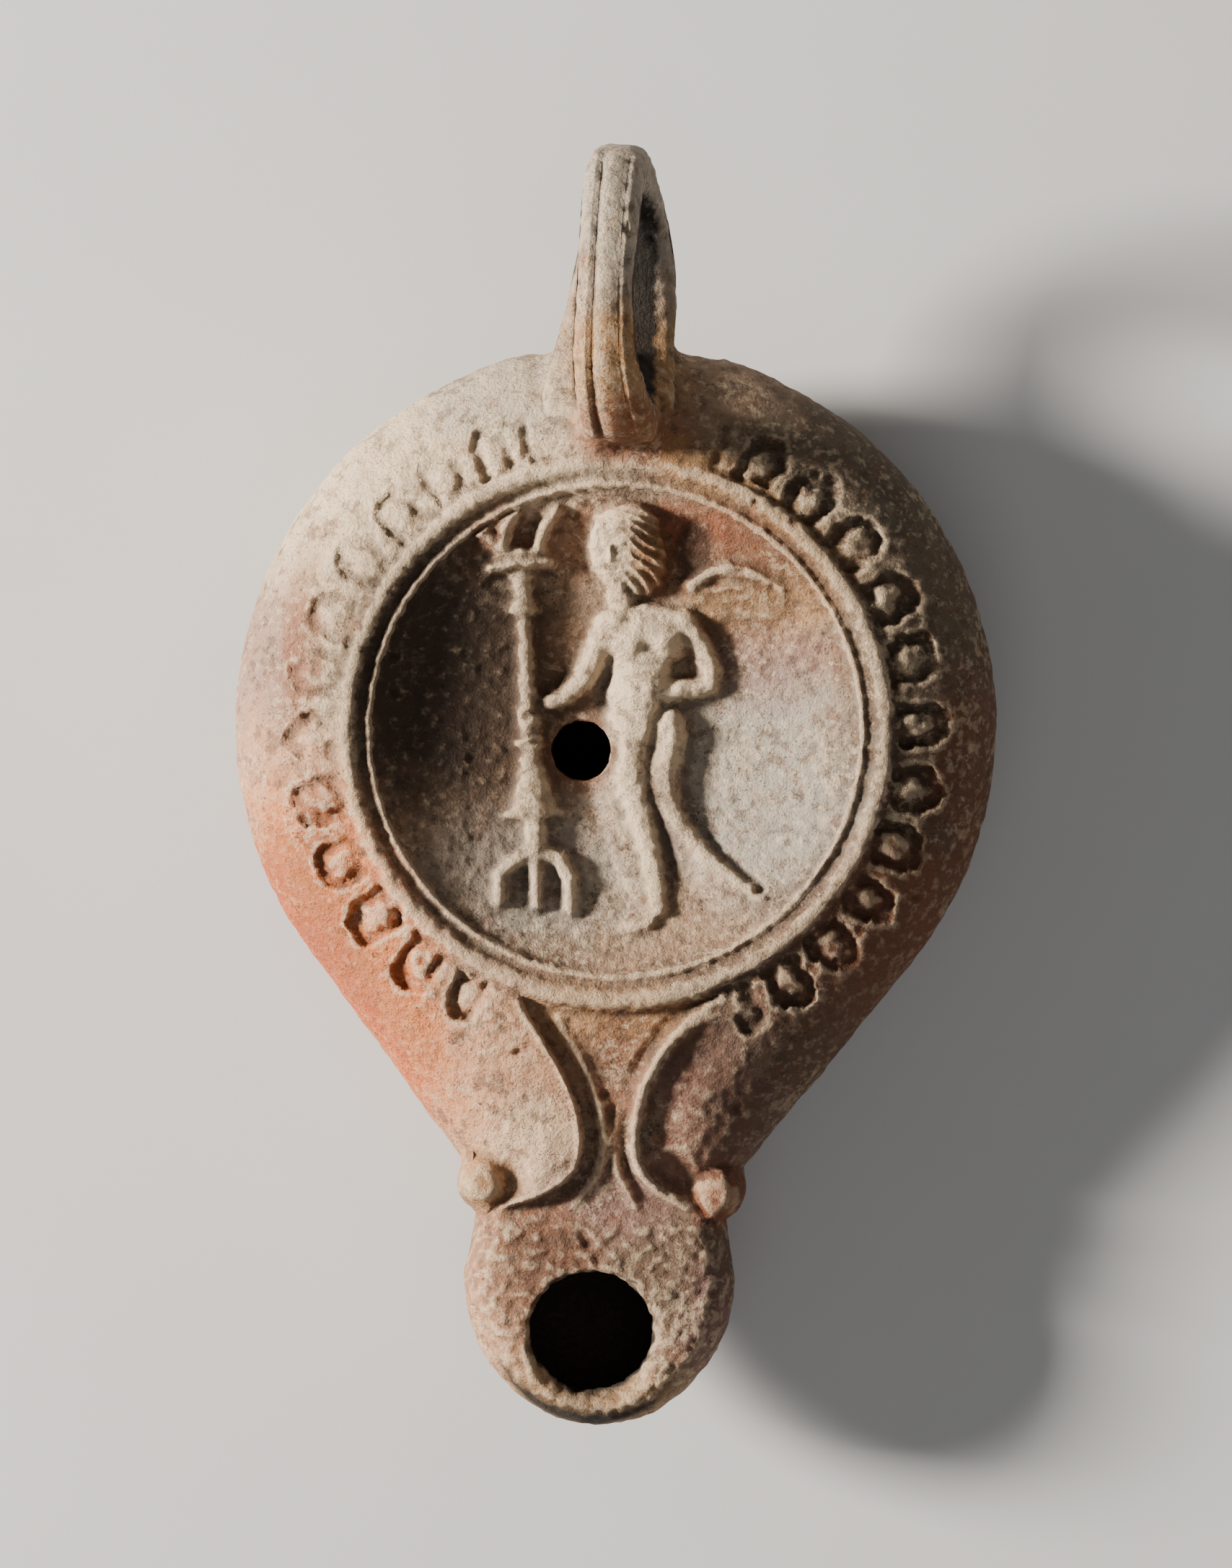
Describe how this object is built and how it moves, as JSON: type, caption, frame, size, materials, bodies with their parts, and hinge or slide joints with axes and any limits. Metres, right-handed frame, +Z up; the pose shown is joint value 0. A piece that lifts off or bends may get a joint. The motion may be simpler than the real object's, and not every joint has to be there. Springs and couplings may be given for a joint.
{
  "type": "roman oil lamp",
  "caption": "Hollow round moulded clay oil lamp with a dished figured top, an egg band, a volute nozzle with wick hole, a filling hole and a ring handle.",
  "frame": {"origin": "centre of the flat base's underside, below the discus's centre", "axes": "+Z up, -Y towards the nozzle, +Y towards the ring handle"},
  "size_m": [0.08, 0.1323, 0.0464],
  "materials": {
    "clay": "matt fired clay, worn slip and earth stains"
  },
  "bodies": {
    "root": {"lamp": "clay"}
  },
  "joints": []
}
